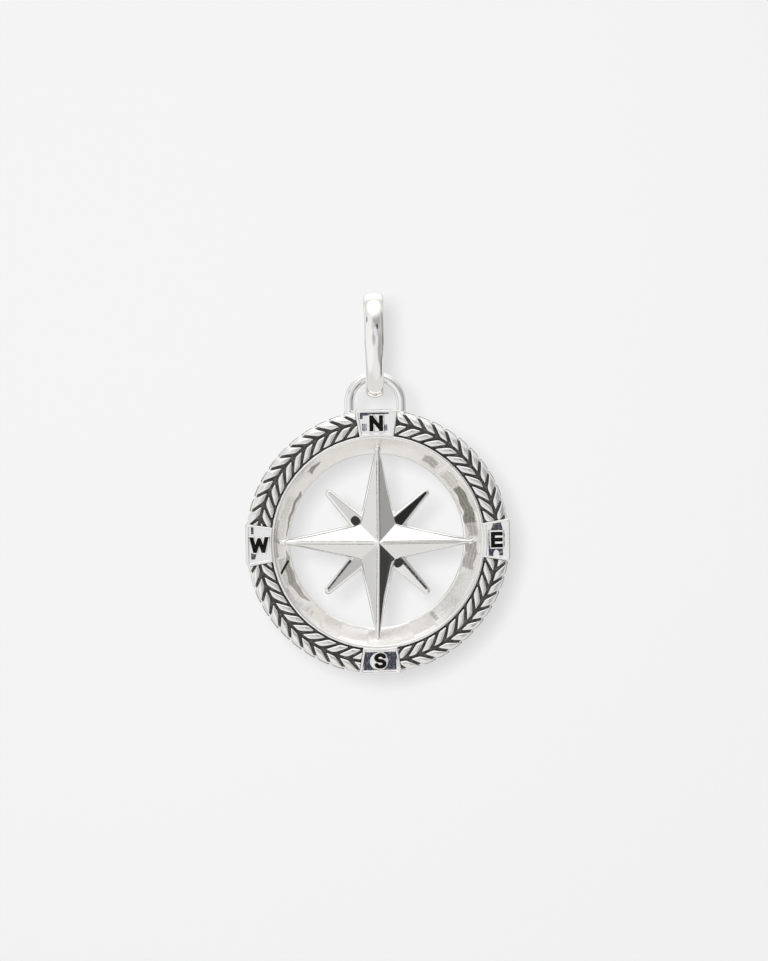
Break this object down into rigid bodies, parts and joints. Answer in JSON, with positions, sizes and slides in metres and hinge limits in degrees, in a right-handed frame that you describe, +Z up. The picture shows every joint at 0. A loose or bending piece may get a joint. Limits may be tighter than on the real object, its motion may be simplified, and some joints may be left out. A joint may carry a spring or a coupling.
{
  "type": "compass pendant",
  "caption": "Polished silver compass pendant: a star inside a woven-bordered ring with letter plaques, hanging by a wire loop from an upright oval bail.",
  "frame": {"origin": "top of the bail's opening, in the middle of its band, where the chain sits", "axes": "+Z up with the medallion hanging below, -Y out of the medallion's face towards the viewer, +X to the viewer's right"},
  "size_m": [0.032, 0.0076, 0.0461],
  "materials": {
    "silver": "mirror-polished sterling silver, black oxide in the plaque fields and letters",
    "woven_silver": "bright leaves with black oxide in the grooves between them"
  },
  "bodies": {
    "bail": {"bail": "silver"},
    "medallion": {"frame": "silver", "border_ne": "woven_silver", "border_se": "woven_silver", "border_sw": "woven_silver", "border_nw": "woven_silver"}
  },
  "joints": [
    {"name": "medallion_swing", "type": "hinge", "parent": "bail", "child": "medallion", "pos_m": [0, 0, -0.00879], "axis": [1, 0, 0], "range_deg": [-90, 90]}
  ]
}
